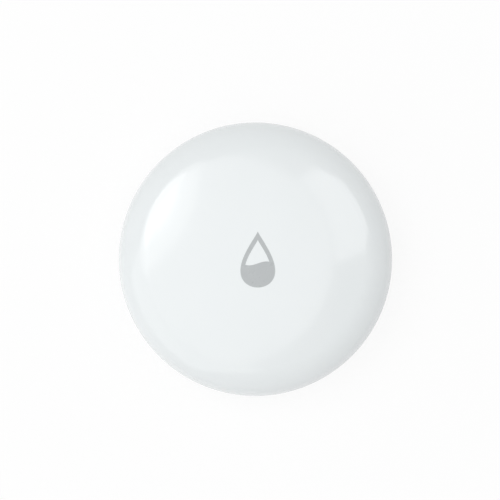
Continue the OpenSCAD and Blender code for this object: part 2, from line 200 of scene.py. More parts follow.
# metal with fine lines: rings around an axis for turned and spun pieces, straight lines for strip
def makeMetal(name, look):
    material, tree, shader, place = startMaterial(name, look)
    parts = addNode(tree, "ShaderNodeSeparateXYZ", {"Vector": place})
    if look["lines"] == "rings":
        # pieces repeat to both sides of the case, so x is folded before the distance is taken
        folded = addNode(tree, "ShaderNodeMath", {0: parts.outputs["X"]}, operation="ABSOLUTE")
        shifted = addNode(tree, "ShaderNodeMath", {
            0: folded.outputs[0],
            1: look["axisAt"] * mm,
        }, operation="SUBTRACT")
        flat = addNode(tree, "ShaderNodeCombineXYZ", {"X": shifted.outputs[0], "Y": parts.outputs["Y"]})
        across = addNode(tree, "ShaderNodeVectorMath", {
            0: flat.outputs[0],
        }, operation="LENGTH").outputs["Value"]
    else:
        across = parts.outputs["Y"]
    lineAt = addNode(tree, "ShaderNodeCombineXYZ", {"X": across})
    stretched = addNode(tree, "ShaderNodeVectorMath", {
        0: place,
        1: (lineDrift, lineDrift, lineDrift),
    }, operation="MULTIPLY")
    drift = addNode(tree, "ShaderNodeVectorMath", {
        0: lineAt.outputs[0],
        1: stretched.outputs[0],
    }, operation="ADD")
    lines = addNode(tree, "ShaderNodeTexNoise", {
        "Vector": drift.outputs[0],
        "Scale": 1 / (look["lineWidth"] * mm),
        "Detail": 3.0,
        "Roughness": 0.6,
    })
    cloud = addNode(tree, "ShaderNodeTexNoise", {
        "Vector": place,
        "Scale": 1 / (look["cloudSize"] * mm),
        "Detail": 3.0,
    })
    shader.inputs["Anisotropic"].default_value = lineShine
    finishShader(tree, shader, look, cloud.outputs["Fac"], lines.outputs["Fac"], lines.outputs["Fac"])
    return material


# gloss polycarbonate under a clear hard coat: cool white, clear reflections, faint orange peel
glossWhitePolycarbonate = makeMoulded("glossWhitePolycarbonate", {
    "colour": "#ECF0F1", "patternColour": "#E9EEEF", "ior": 1.585, "rough": (0.10, 0.14),
    "cloudSize": 9.0, "grainSize": 1.6, "bumpHeight": 0.0012, "coat": 0.6, "coatRough": 0.05,
})
# satin ABS from a spark-eroded mould: fine grain, drawn three times as coarse as real so that it shows
satinWhiteAbs = makeMoulded("satinWhiteAbs", {
    "colour": "#E6EAEA", "patternColour": "#E0E5E6", "ior": 1.53, "rough": (0.36, 0.46),
    "cloudSize": 7.0, "grainSize": 0.35, "grainDetail": 1.0, "bumpHeight": 0.05,
})
# pad-printed ink: thin cool grey film, duller than the gloss under it, uneven where the pad lifted
padPrintInk = makeMoulded("padPrintInk", {
    "colour": "#BBBFC0", "patternColour": "#B5B9BB", "ior": 1.5, "rough": (0.24, 0.36),
    "cloudSize": 1.2, "grainSize": 0.15, "bumpHeight": 0.002,
})
# silicone rubber: dull mid grey with a dusty bloom
greySilicone = makeMoulded("greySilicone", {
    "colour": "#9DA2A4", "patternColour": "#8E9395", "ior": 1.42, "rough": (0.55, 0.7),
    "cloudSize": 2.5, "grainSize": 0.2, "bumpHeight": 0.006, "sheen": 0.2,
})
# glass-filled nylon: matt black with a grainy skin
blackNylon = makeMoulded("blackNylon", {
    "colour": "#242526", "patternColour": "#17181A", "ior": 1.53, "rough": (0.42, 0.58),
    "cloudSize": 1.5, "grainSize": 0.12, "bumpHeight": 0.006,
})
# fired ceramic: tan, chalky, fine specks
firedCeramic = makeMoulded("firedCeramic", {
    "colour": "#C2A883", "patternColour": "#A68C68", "ior": 1.76, "rough": (0.45, 0.6),
    "cloudSize": 0.4, "grainSize": 0.08, "bumpHeight": 0.003,
})
# cast epoxy lens: milky warm white, smooth
milkyEpoxy = makeMoulded("milkyEpoxy", {
    "colour": "#EFEEDD", "patternColour": "#E4E1C8", "ior": 1.54, "rough": (0.12, 0.2),
    "cloudSize": 0.9, "grainSize": 0.3, "bumpHeight": 0.001,
})
# nickel-plated steel can of the cell: spun, faint rings
nickelPlatedCan = makeMetal("nickelPlatedCan", {
    "colour": "#CFCDC8", "patternColour": "#BDBBB5", "metallic": 1.0, "rough": (0.2, 0.34),
    "lines": "rings", "axisAt": 0.0, "lineWidth": 0.15, "cloudSize": 4.0, "bumpHeight": 0.001,
})
# rolled stainless strip: bright, with straight rolling lines
rolledStainless = makeMetal("rolledStainless", {
    "colour": "#D2D0CA", "patternColour": "#BFBDB6", "metallic": 1.0, "rough": (0.22, 0.36),
    "lines": "straight", "lineWidth": 0.1, "cloudSize": 2.0, "bumpHeight": 0.0012,
})
# turned and nickel-plated brass of the probes: fine tool rings around each probe's own axis
platedTurnedBrass = makeMetal("platedTurnedBrass", {
    "colour": "#C6C7C7", "patternColour": "#A6A8A9", "metallic": 1.0, "rough": (0.14, 0.28),
    "lines": "rings", "axisAt": 17.775, "lineWidth": 0.12, "cloudSize": 1.5, "bumpHeight": 0.0015,
})
# tinned ends and solder: pale, softly clouded grey
tinnedSolder = makeMetal("tinnedSolder", {
    "colour": "#D5D6D6", "patternColour": "#B4B6B7", "metallic": 1.0, "rough": (0.28, 0.45),
    "lines": "straight", "lineWidth": 0.25, "cloudSize": 0.3, "bumpHeight": 0.004,
})
# etched copper: warm, with light tarnish
etchedCopper = makeMetal("etchedCopper", {
    "colour": "#C99068", "patternColour": "#AD744C", "metallic": 1.0, "rough": (0.25, 0.4),
    "lines": "straight", "lineWidth": 0.2, "cloudSize": 1.0, "bumpHeight": 0.001,
})


# solder mask over traces: green lacquer, raised and lighter where lanes of copper run under it
def makeSolderMask(name, look):
    material, tree, shader, place = startMaterial(name, look)
    parts = addNode(tree, "ShaderNodeSeparateXYZ", {"Vector": place}).outputs
    # patches of the board whose lanes run along x, and the rest along y
    patch = addNode(tree, "ShaderNodeTexNoise", {
        "Vector": place,
        "Scale": 1 / (look["patchSize"] * mm),
        "Detail": 0.0,
    }).outputs["Fac"]
    turned = addNode(tree, "ShaderNodeMath", {0: patch, 1: 0.5}, operation="GREATER_THAN").outputs[0]
    across = addNode(tree, "ShaderNodeMix", {
        0: turned,
        2: parts["X"],
        3: parts["Y"],
    }, data_type="FLOAT").outputs[0]
    along = addNode(tree, "ShaderNodeMix", {
        0: turned,
        2: parts["Y"],
        3: parts["X"],
    }, data_type="FLOAT").outputs[0]
    pitch = look["tracePitch"] * mm
    fold = addNode(tree, "ShaderNodeMath", {0: across, 1: pitch / 2}, operation="PINGPONG").outputs[0]
    onLane = addNode(tree, "ShaderNodeMath", {
        0: fold,
        1: look["traceWidth"] / 2 * mm,
    }, operation="LESS_THAN").outputs[0]
    # each lane starts and stops by itself
    lane = addNode(tree, "ShaderNodeMath", {0: across, 1: pitch}, operation="DIVIDE").outputs[0]
    laneNumber = addNode(tree, "ShaderNodeMath", {0: lane}, operation="ROUND").outputs[0]
    run = addNode(tree, "ShaderNodeMath", {
        0: along,
        1: look["traceRun"] * mm,
    }, operation="DIVIDE").outputs[0]
    spread = addNode(tree, "ShaderNodeMath", {
        0: laneNumber,
        1: look["laneSpread"],
    }, operation="MULTIPLY").outputs[0]
    lanePlace = addNode(tree, "ShaderNodeCombineXYZ", {"X": spread, "Y": run}).outputs[0]
    chance = addNode(tree, "ShaderNodeTexNoise", {
        "Vector": lanePlace,
        "Scale": 1.0,
        "Detail": 0.0,
    }).outputs["Fac"]
    laid = addNode(tree, "ShaderNodeMath", {0: chance, 1: 0.5}, operation="GREATER_THAN").outputs[0]
    traces = addNode(tree, "ShaderNodeMath", {0: onLane, 1: laid}, operation="MULTIPLY").outputs[0]
    fibre = addNode(tree, "ShaderNodeTexNoise", {
        "Vector": place,
        "Scale": 1 / (look["grainSize"] * mm),
        "Detail": 2.0,
    }).outputs["Fac"]
    finishShader(tree, shader, look, traces, fibre, traces)
    return material


greenSolderMask = makeSolderMask("greenSolderMask", {
    "colour": "#0F4A2A", "patternColour": "#1E6B40", "ior": 1.55, "rough": (0.26, 0.4),
    "tracePitch": 0.7, "traceWidth": 0.28, "traceRun": 5.0, "patchSize": 8.0,
    "laneSpread": 3.7,  # noise cells between lanes, so that neighbours differ
    "grainSize": 0.4, "bumpHeight": 0.02,
})
print("materials:", len(bpy.data.materials))

nodeFinish = {
    "base_shell": satinWhiteAbs,
    "top_cover": glossWhitePolycarbonate,
    "case_seal": greySilicone,
    "press_pad": glossWhitePolycarbonate,
    "drop_symbol": padPrintInk,
    "battery_door": satinWhiteAbs,
    "door_seal": greySilicone,
    "coin_cell": nickelPlatedCan,
    "battery_cradle": blackNylon,
    "negative_contact": rolledStainless,
    "positive_contact": rolledStainless,
    "probe_pins": platedTurnedBrass,
    "probe_seals": greySilicone,
    "probe_nuts": platedTurnedBrass,
    "circuit_board": greenSolderMask,
    "board_screws": rolledStainless,
    "radio_chip": blackNylon,
    "crystal": nickelPlatedCan,
    "antenna": etchedCopper,
    "chip_capacitors": firedCeramic,
    "status_led": milkyEpoxy,
    "switch_housing": blackNylon,
    "switch_plunger": blackNylon,
}
for nodeName, material in nodeFinish.items():
    for slot in frame["nodes"][nodeName].material_slots:
        slot.material = material
print("finishes given to", len(nodeFinish), "nodes")


mergeGap = 0.002  # points nearer than this are one
noLimit = 1000.0  # past every piece
sharpAngle = 40  # degrees between two faces from which their edge is drawn sharp


# a Geometry Nodes tree, the identifiers of its named inputs, and their sockets inside
def startTree(name, inputs):
    tree = bpy.data.node_groups.new(name, "GeometryNodeTree")
    face = tree.interface
    face.new_socket("Geometry", in_out="INPUT", socket_type="NodeSocketGeometry")
    named = {}
    for label, kind in inputs.items():
        named[label] = face.new_socket(label, in_out="INPUT", socket_type="NodeSocket" + kind).identifier
    face.new_socket("Geometry", in_out="OUTPUT", socket_type="NodeSocketGeometry")
    return tree, named, addNode(tree, "NodeGroupInput").outputs


# Turned pieces: the profile is swept around the axis, and the result repeated on points around the case
def makeTurnTree():
    tree, named, given = startTree("turnedPiece", {
        "Around": "Int",
        "Count": "Int",
        "Reach": "Float",
        "First Angle": "Float",
        "Keep Below": "Float",
        "Material": "Material",
    })
    where = addNode(tree, "GeometryNodeInputPosition").outputs[0]

    # a grid with one column for each profile point and one row for each step around
    profileSize = addNode(tree, "GeometryNodeAttributeDomainSize", {0: given["Geometry"]})
    count = profileSize.outputs["Point Count"]
    columns = addNode(tree, "ShaderNodeMath", {0: count, 1: 1.0}, operation="SUBTRACT").outputs[0]
    rows = addNode(tree, "ShaderNodeMath", {0: given["Around"], 1: 1.0}, operation="ADD").outputs[0]
    grid = addNode(tree, "GeometryNodeMeshGrid", {
        "Size X": columns,
        "Size Y": given["Around"],
        "Vertices X": count,
        "Vertices Y": rows,
    })
    gridAt = addNode(tree, "ShaderNodeSeparateXYZ", {0: where}).outputs
    column = addNode(tree, "ShaderNodeMath", {
        0: columns,
        1: 0.5,
        2: gridAt["X"],
    }, operation="MULTIPLY_ADD").outputs[0]
    rounded = addNode(tree, "ShaderNodeMath", {0: column}, operation="ROUND").outputs[0]
    row = addNode(tree, "ShaderNodeMath", {
        0: given["Around"],
        1: 0.5,
        2: gridAt["Y"],
    }, operation="MULTIPLY_ADD").outputs[0]
    share = addNode(tree, "ShaderNodeMath", {0: row, 1: given["Around"]}, operation="DIVIDE").outputs[0]
    turn = addNode(tree, "ShaderNodeMath", {0: share, 1: math.tau}, operation="MULTIPLY").outputs[0]
    profile = addNode(tree, "GeometryNodeSampleIndex", {
        "Geometry": given["Geometry"],
        "Value": where,
        "Index": rounded,
    }, data_type="FLOAT_VECTOR", domain="POINT").outputs["Value"]
    swept = addNode(tree, "ShaderNodeVectorRotate", {
        "Vector": profile,
        "Angle": turn,
    }, rotation_type="Z_AXIS").outputs[0]
    shaped = addNode(tree, "GeometryNodeSetPosition", {
        "Geometry": grid.outputs["Mesh"],
        "Position": swept,
    }).outputs[0]
    closed = addNode(tree, "GeometryNodeMergeByDistance", {
        "Geometry": shaped,
        "Distance": mergeGap * mm,
    }).outputs[0]
    smooth = addNode(tree, "GeometryNodeSetShadeSmooth", {"Geometry": closed}).outputs[0]

    # the places around the axis, without those past the limit in y
    number = addNode(tree, "GeometryNodeInputIndex").outputs[0]
    step = addNode(tree, "ShaderNodeMath", {0: number, 1: given["Count"]}, operation="DIVIDE").outputs[0]
    angle = addNode(tree, "ShaderNodeMath", {
        0: step,
        1: math.tau,
        2: given["First Angle"],
    }, operation="MULTIPLY_ADD").outputs[0]
    out = addNode(tree, "ShaderNodeCombineXYZ", {"X": given["Reach"]}).outputs[0]
    spot = addNode(tree, "ShaderNodeVectorRotate", {
        "Vector": out,
        "Angle": angle,
    }, rotation_type="Z_AXIS").outputs[0]
    places = addNode(tree, "GeometryNodePoints", {"Count": given["Count"], "Position": spot}).outputs[0]
    placeY = addNode(tree, "ShaderNodeSeparateXYZ", {0: where}).outputs["Y"]
    kept = addNode(tree, "FunctionNodeCompare", {
        0: placeY,
        1: given["Keep Below"],
    }, data_type="FLOAT", operation="LESS_THAN").outputs[0]
    repeated = addNode(tree, "GeometryNodeInstanceOnPoints", {
        "Points": places,
        "Selection": kept,
        "Instance": smooth,
    })
    real = addNode(tree, "GeometryNodeRealizeInstances", {0: repeated.outputs[0]})
    finished = addNode(tree, "GeometryNodeSetMaterial", {
        "Geometry": real.outputs[0],
        "Material": given["Material"],
    })
    addNode(tree, "NodeGroupOutput", {"Geometry": finished.outputs[0]})
    return tree, named


turnTree, turnInputs = makeTurnTree()


# merges, turns every face outwards, marks the sharp edges and counts the open ones
def closeMesh(mesh, sharpFrom):
    shape = bmesh.new()
    shape.from_mesh(mesh)
    bmesh.ops.remove_doubles(shape, verts=shape.verts, dist=mergeGap * mm)
    bmesh.ops.recalc_face_normals(shape, faces=shape.faces)
    for poly in shape.faces:
        poly.smooth = True
    for edge in shape.edges:
        edge.smooth = edge.calc_face_angle(0) < math.radians(sharpFrom)
    openEdges = [edge for edge in shape.edges if len(edge.link_faces) != 2]
    shape.to_mesh(mesh)
    shape.free()
    return len(openEdges)


def addPiece(name, mesh):
    piece = bpy.data.objects.new(name, mesh)
    scene.collection.objects.link(piece)
    return piece


# what the modifiers make becomes the piece's plain mesh
def applyModifiers(piece):
    draft = piece.data
    made = bpy.data.meshes.new_from_object(piece.evaluated_get(bpy.context.evaluated_depsgraph_get()))
    piece.modifiers.clear()
    piece.data = made
    bpy.data.meshes.remove(draft)
    made.name = piece.name
    return made


# a piece that a tree makes out of a small mesh
def growPiece(name, seed, tree, named, values, sharpFrom):
    piece = addPiece(name, seed)
    growth = piece.modifiers.new(tree.name, "NODES")
    growth.node_group = tree
    for label, value in values.items():
        growth[named[label]] = value
    made = applyModifiers(piece)
    left = closeMesh(made, sharpFrom)
    print(name, len(made.polygons), "faces,", left, "open edges")
    return piece


# a profile of (radius, height) points turned around, on one place or on several at the same reach
def makeTurned(
        name, profile, material, around, count=1, reach=0.0, first=0.0, keepBelow=noLimit,
        sharpFrom=sharpAngle):
    line = bpy.data.meshes.new(name + "Profile")
    line.from_pydata(
        [(r * mm, 0, z * mm) for r, z in profile],
        [(i, i + 1) for i in range(len(profile) - 1)],
        [],
    )
    return growPiece(name, line, turnTree, turnInputs, {
        "Around": around,
        "Count": count,
        "Reach": reach * mm,
        "First Angle": math.radians(first),
        "Keep Below": keepBelow * mm,
        "Material": material,
    }, sharpFrom)


# Repeated pieces: one small piece on every point of a grid, its marked faces in a second material
def makeGridTree():
    tree, named, given = startTree("piecesOnGrid", {
        "Columns": "Int",
        "Rows": "Int",
        "Width": "Float",
        "Depth": "Float",
        "Middle": "Vector",
        "Material": "Material",
        "Marked Material": "Material",
    })
    grid = addNode(tree, "GeometryNodeMeshGrid", {
        "Size X": given["Width"],
        "Size Y": given["Depth"],
        "Vertices X": given["Columns"],
        "Vertices Y": given["Rows"],
    }).outputs["Mesh"]
    placed = addNode(tree, "GeometryNodeSetPosition", {
        "Geometry": grid,
        "Offset": given["Middle"],
    }).outputs[0]
    repeated = addNode(tree, "GeometryNodeInstanceOnPoints", {
        "Points": placed,
        "Instance": given["Geometry"],
    }).outputs[0]
    real = addNode(tree, "GeometryNodeRealizeInstances", {0: repeated}).outputs[0]
    painted = addNode(tree, "GeometryNodeSetMaterial", {
        "Geometry": real,
        "Material": given["Material"],
    }).outputs[0]
    marked = addNode(tree, "GeometryNodeInputNamedAttribute", {
        "Name": "marked",
    }, data_type="BOOLEAN").outputs[0]
    finished = addNode(tree, "GeometryNodeSetMaterial", {
        "Geometry": painted,
        "Selection": marked,
        "Material": given["Marked Material"],
    }).outputs[0]
    addNode(tree, "NodeGroupOutput", {"Geometry": finished})
    return tree, named


gridTree, gridInputs = makeGridTree()


# a small piece of blocks with rounded edges: (size, middle, marked) for each block
def makeBlocks(name, blocks, edgeRound):
    shape = bmesh.new()
    mark = shape.faces.layers.bool.new("marked")
    for size, middle, marked in blocks:
        stretch = Matrix.Diagonal((*(side * mm for side in size), 1))
        place = Matrix.Translation(Vector(middle) * mm)
        corners = bmesh.ops.create_cube(shape, size=1, matrix=place @ stretch)["verts"]
        edges = {edge for corner in corners for edge in corner.link_edges}
        rounded = bmesh.ops.bevel(
            shape, geom=list(edges), offset=edgeRound * mm, segments=2, profile=0.5, affect="EDGES")
        whole = {poly for corner in rounded["verts"] for poly in corner.link_faces}
        for poly in whole:
            poly[mark] = marked
    mesh = bpy.data.meshes.new(name)
    shape.to_mesh(mesh)
    shape.free()
    return mesh


def makeOnGrid(name, unit, material, markedMaterial, columns, rows, width, depth, middle):
    return growPiece(name, unit, gridTree, gridInputs, {
        "Columns": columns,
        "Rows": rows,
        "Width": width * mm,
        "Depth": depth * mm,
        "Middle": [part * mm for part in middle],
        "Material": material,
        "Marked Material": markedMaterial,
    }, sharpAngle)


# Cover: one skin with a thin middle, so no ring shows around the pressed part
coverSkinShape = {
    "radius": 25.0, "height": 15.0, "crownRise": 1.5, "rimRadius": 6.5, "bottom": 5.3, "wall": 1.6,
    "edgeRound": 0.25, "innerEdge": 0.2, "pressRadius": 12.0, "pressWall": 1.0,
    "pocketRadius": 23.8, "pocketLow": 5.75, "pocketHigh": 6.85,  # where the base's catches snap in
    "flexFrom": 14.4,  # a height on the crown
    "crownSteps": 36, "rimSteps": 48, "edgeSteps": 6, "innerRimSteps": 16, "innerCrownSteps": 8,
    "thinSteps": 12, "around": 288, "sharpFrom": 30,
}


# radius of the crown's sphere, and the tilt in degrees at which it runs into the rounded rim
def crownOf(shape):
    rimAt = shape["radius"] - shape["rimRadius"]
    rise = shape["crownRise"] + shape["rimRadius"]
    radius = (rimAt ** 2 + rise ** 2 - shape["rimRadius"] ** 2) / (2 * shape["crownRise"])
    return radius, math.degrees(math.asin(rimAt / (radius - shape["rimRadius"])))


def coverProfile(shape):
    crownRadius, tilt = crownOf(shape)
    rim = shape["rimRadius"]
    rimCentre = (shape["radius"] - rim, shape["height"] - shape["crownRise"] - rim)
    crownCentre = (0.0, shape["height"] - crownRadius)
    outer, edge, inner = shape["radius"], shape["edgeRound"], shape["radius"] - shape["wall"]
    innerCrown = crownRadius - shape["wall"]
    thinCrown = crownRadius - shape["pressWall"]
    stepTilt = math.degrees(math.asin(shape["pressRadius"] / innerCrown))
    points = arcPoints(crownCentre, crownRadius, 90, 90 - tilt, shape["crownSteps"])
    points += arcPoints(rimCentre, rim, 90 - tilt, 0, shape["rimSteps"])[1:]
    points += arcPoints((outer - edge, shape["bottom"] + edge), edge, 0, -90, shape["edgeSteps"])
    points.append((inner + shape["innerEdge"], shape["bottom"]))
    points.append((inner, shape["bottom"] + shape["innerEdge"]))
    points.append((inner, shape["pocketLow"]))
    points.append((shape["pocketRadius"], shape["pocketLow"]))
    points.append((shape["pocketRadius"], shape["pocketHigh"]))
    points.append((inner, shape["pocketHigh"]))
    points += arcPoints(rimCentre, rim - shape["wall"], 0, 90 - tilt, shape["innerRimSteps"])
    points += arcPoints(crownCentre, innerCrown, 90 - tilt, 90 - stepTilt, shape["innerCrownSteps"])[1:]
    points += arcPoints(crownCentre, thinCrown, 90 - stepTilt, 90, shape["thinSteps"])
    points[0] = (0.0, points[0][1])
    points[-1] = (0.0, points[-1][1])
    return points


coverSkin = makeTurned(
    "coverSkin", coverProfile(coverSkinShape), glossWhitePolycarbonate, coverSkinShape["around"],
    sharpFrom=coverSkinShape["sharpFrom"])
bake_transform(coverSkin)
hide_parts("top_cover", "press_pad")

# the post under the thin middle, which reaches down to the switch
pressPostShape = {
    "postRadius": 2.0, "postEnd": 12.15, "edgeRound": 0.2, "fillet": 0.6, "flangeRadius": 11.6,
    "flangeTop": 1.08, "flangeBottom": 1.22,  # depths under the crown
    "edgeSteps": 5, "filletSteps": 8, "underSteps": 8, "topSteps": 10, "around": 96,
}


def postProfile(shape, cover):
    crownRadius = crownOf(cover)[0]
    centre = (0.0, cover["height"] - crownRadius)
    top = crownRadius - shape["flangeTop"]
    low = crownRadius - shape["flangeBottom"]
    reach = math.degrees(math.asin(shape["flangeRadius"] / low))
    post, edge, fillet = shape["postRadius"], shape["edgeRound"], shape["fillet"]
    under = centre[1] + math.sqrt(low ** 2 - (post + fillet) ** 2)
    points = [(0.0, shape["postEnd"])]
    points += arcPoints((post - edge, shape["postEnd"] + edge), edge, -90, 0, shape["edgeSteps"])
    points += arcPoints((post + fillet, under - fillet), fillet, 180, 90, shape["filletSteps"])
    fromTilt = math.degrees(math.asin((post + fillet) / low))
    points += arcPoints(centre, low, 90 - fromTilt, 90 - reach, shape["underSteps"])[1:]
    points += arcPoints(centre, top, 90 - reach, 90, shape["topSteps"])
    points[-1] = (0.0, points[-1][1])
    return points


pressPost = makeTurned(
    "pressPost", postProfile(pressPostShape, coverSkinShape), glossWhitePolycarbonate,
    pressPostShape["around"])
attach(pressPost, "button")

# Drop: a thin printed film that follows the crown, an outline filled up to a wavy water line
dropShape = {
    "width": 6.2, "height": 10.0, "line": 0.75, "waterLine": -0.7, "waveHeight": 0.35, "sharpness": 4 / 3,
    "filmLift": 0.012, "filmDepth": 0.06, "tipGap": 0.02, "outlinePoints": 100, "wavePoints": 30,
    "patch": 0.5, "patchRounds": 5,  # longest edge of the film's faces, and how often they may be split
    "waterFrom": 0.1, "waterRounds": 50,  # where the search for the water line starts, and its halvings
    "sharpFrom": 30,
}


def dropPoint(turn, width, height, power):
    widest = 2 * ((power + 1) / (power + 2)) ** ((power + 1) / 2) * math.sqrt(1 / (power + 2))
    across = width / 2 * math.sin(turn) * abs(math.sin(turn / 2)) ** power / widest
    return across, height / 2 * math.cos(turn)


def waterAt(x, shape):
    return shape["waterLine"] + shape["waveHeight"] * math.sin(math.tau * x / shape["width"])


# the clear window: the inner drop's outline above the water, then back along the water
def windowPoints(shape):
    width = shape["width"] - 2 * shape["line"]
    height = shape["height"] - 3 * shape["line"]

    def innerPoint(turn):
        x, y = dropPoint(turn, width, height, shape["sharpness"])
        return x, y - shape["line"] / 2

    def waterTurn(side):
        low, high = shape["waterFrom"], math.pi
        for halving in range(shape["waterRounds"]):
            middle = (low + high) / 2
            x, y = innerPoint(side * middle)
            low, high = (middle, high) if y > waterAt(x, shape) else (low, middle)
        return side * low

    right, left = waterTurn(1), waterTurn(-1)
    half = shape["outlinePoints"] // 2
    points = [innerPoint(left * (1 - i / half)) for i in range(half)]
    points += [innerPoint(right * i / half) for i in range(half + 1)]
    start, stop = innerPoint(right)[0], innerPoint(left)[0]
    for i in range(1, shape["wavePoints"]):
        x = start + (stop - start) * i / shape["wavePoints"]
        points.append((x, waterAt(x, shape)))
    return points


def makeDrop(shape, cover):
    crownRadius = crownOf(cover)[0]
    crownMiddle = cover["height"] - crownRadius
    count = 2 * shape["outlinePoints"]
    size = (shape["width"], shape["height"], shape["sharpness"])
    rim = [dropPoint(math.tau * i / count, *size) for i in range(count)]
    film = bmesh.new()
    edges = []
    for outline in (rim, windowPoints(shape)):
        # near the tip the two sides run together, so only the tip itself is kept there
        spaced = [(x, y) for x, y in outline if x == 0 or abs(x) > shape["tipGap"] or y < 0]
        corners = [film.verts.new((x * mm, y * mm, 0)) for x, y in spaced]
        edges += [film.edges.new((corners[i - 1], corners[i])) for i in range(len(corners))]
    bmesh.ops.triangle_fill(film, use_beauty=True, use_dissolve=False, edges=edges)
    for refine in range(shape["patchRounds"]):
        long = [edge for edge in film.edges if edge.calc_length() > shape["patch"] * mm]
        if not long:
            break
        bmesh.ops.subdivide_edges(film, edges=long, cuts=1)
        bmesh.ops.triangulate(film, faces=film.faces)
    bmesh.ops.recalc_face_normals(film, faces=film.faces)
    if film.faces[:][0].normal.z < 0:
        bmesh.ops.reverse_faces(film, faces=film.faces)
    for corner in film.verts:
        flat = (corner.co.x ** 2 + corner.co.y ** 2) / mm ** 2
        crown = crownMiddle + math.sqrt(crownRadius ** 2 - flat)
        corner.co.z = (crown + shape["filmLift"]) * mm
    lower = bmesh.ops.extrude_face_region(film, geom=film.faces[:])["geom"]
    for part in lower:
        if isinstance(part, bmesh.types.BMVert):
            part.co.z -= shape["filmDepth"] * mm
    # points and faces in a fixed order, so that each run gives the same mesh
    points = sorted(film.verts, key=lambda corner: corner.co[:])
    number = {corner: i for i, corner in enumerate(points)}
    rings = []
    for poly in film.faces:
        ring = [number[corner] for corner in poly.verts]
        start = ring.index(min(ring))
        rings.append(ring[start:] + ring[:start])
    mesh = bpy.data.meshes.new("dropPrint")
    mesh.from_pydata([corner.co for corner in points], [], sorted(rings))
    film.free()
    mesh.materials.append(padPrintInk)
    left = closeMesh(mesh, shape["sharpFrom"])
    print("dropPrint", len(mesh.polygons), "faces,", left, "open edges")
    return addPiece("dropPrint", mesh)


dropPrint = makeDrop(dropShape, coverSkinShape)
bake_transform(dropPrint)
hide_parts("drop_symbol")


# Moulded and stamped pieces: the solids with their edges rounded as real ones are
rounding = {
    "mergeGap": 0.001,
    "flatWithin": 0.05,  # degrees within which small faces are joined to a whole flat one
    "cornerFrom": 50,  # degrees from which an edge is rounded
    "segments": 3,
    "sharpFrom": 36,
}


def makeRounded(name, nodeName, wanted, edgeRound, flatBelow=noLimit):
    shape = bmesh.new()
    shape.from_mesh(frame["nodes"][nodeName].data)
    bmesh.ops.remove_doubles(shape, verts=shape.verts, dist=rounding["mergeGap"] * mm)
    low = {corner for corner in shape.verts if corner.co.z < flatBelow * mm}
    lowEdges = [edge for edge in shape.edges if all(corner in low for corner in edge.verts)]
    bmesh.ops.dissolve_limit(
        shape, angle_limit=math.radians(rounding["flatWithin"]), use_dissolve_boundaries=False,
        verts=list(low), edges=lowEdges)
    sharp = []
    for edge in shape.edges:
        corner = len(edge.link_faces) == 2 and edge.is_convex
        if corner and edge.calc_face_angle(0) > math.radians(rounding["cornerFrom"]):
            if all(wanted(end.co / mm) for end in edge.verts):
                sharp.append(edge)
    bmesh.ops.bevel(
        shape, geom=sharp, offset=edgeRound * mm, offset_type="OFFSET", segments=rounding["segments"],
        profile=0.5, affect="EDGES", clamp_overlap=True)
    mesh = bpy.data.meshes.new(name)
    shape.to_mesh(mesh)
    shape.free()
    mesh.materials.append(nodeFinish[nodeName])
    left = closeMesh(mesh, rounding["sharpFrom"])
    piece = addPiece(name, mesh)
    even = piece.modifiers.new("evenNormals", "WEIGHTED_NORMAL")
    even.keep_sharp = True
    made = applyModifiers(piece)
    print(name, len(made.polygons), "faces,", len(sharp), "edges rounded,", left, "open edges")
    return piece


# a piece takes over a node: it moves with the node's body, and the node is hidden
def standFor(piece, nodeName):
    for body, nodes in frame["record"]["behaviour"]["bodies"].items():
        if nodeName in nodes:
            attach(piece, body)
    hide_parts(nodeName)


# which edges of the base and the door are rounded: those of the underside and of the parting line
outsideEdges = {
    "underside": 0.6, "baseTop": 5.0, "baseRim": 24.9, "slack": 0.01, "edgeRound": 0.14,
    "slotWidth": 2.8, "slotLength": 16.0,
    "doorPlate": 1.0,  # the door's flat faces are joined up to here
}


def onUnderside(corner):
    return corner.z < outsideEdges["underside"] + outsideEdges["slack"]


def onBaseOutside(corner):
    atTop = abs(corner.z - outsideEdges["baseTop"]) < outsideEdges["slack"]
    return onUnderside(corner) or atTop and math.hypot(corner.x, corner.y) > outsideEdges["baseRim"]


# the coin slot runs out flat at both ends, so its edges stay as they are
def onDoorOutside(corner):
    acrossSlot = 2 * abs(corner.y) < outsideEdges["slotWidth"]
    alongSlot = 2 * abs(corner.x) < outsideEdges["slotLength"]
    return onUnderside(corner) and not (acrossSlot and alongSlot)


def anywhere(corner):
    return True


standFor(makeRounded("baseBowl", "base_shell", onBaseOutside, outsideEdges["edgeRound"]), "base_shell")
standFor(makeRounded(
    "doorPlate", "battery_door", onDoorOutside, outsideEdges["edgeRound"],
    flatBelow=outsideEdges["doorPlate"]), "battery_door")

# what is inside: the piece's name, and how much its edges are rounded
roundedInside = {
    "battery_cradle": ("cellCradle", 0.15),
    "probe_nuts": ("probeNuts", 0.15),
    "circuit_board": ("circuitBoard", 0.06),
    "board_screws": ("boardScrews", 0.1),
    "radio_chip": ("radioChip", 0.06),
    "crystal": ("crystalCan", 0.2),
    "status_led": ("statusLamp", 0.12),
    "switch_housing": ("switchHousing", 0.14),
    "switch_plunger": ("switchPlunger", 0.22),
}
for nodeName, (pieceName, edgeRound) in roundedInside.items():
    standFor(makeRounded(pieceName, nodeName, anywhere, edgeRound), nodeName)

# Capacitors: a ceramic block between two tinned ends, four by two on the board
boardTop = 7.8
capacitorShape = {
    "length": 1.2, "width": 0.7, "height": 0.6, "endLength": 0.27, "bodyInset": 0.03, "edgeRound": 0.05,
    "columns": 4, "rows": 2, "pitch": 2.0, "first": (6.5, -9.0),
}


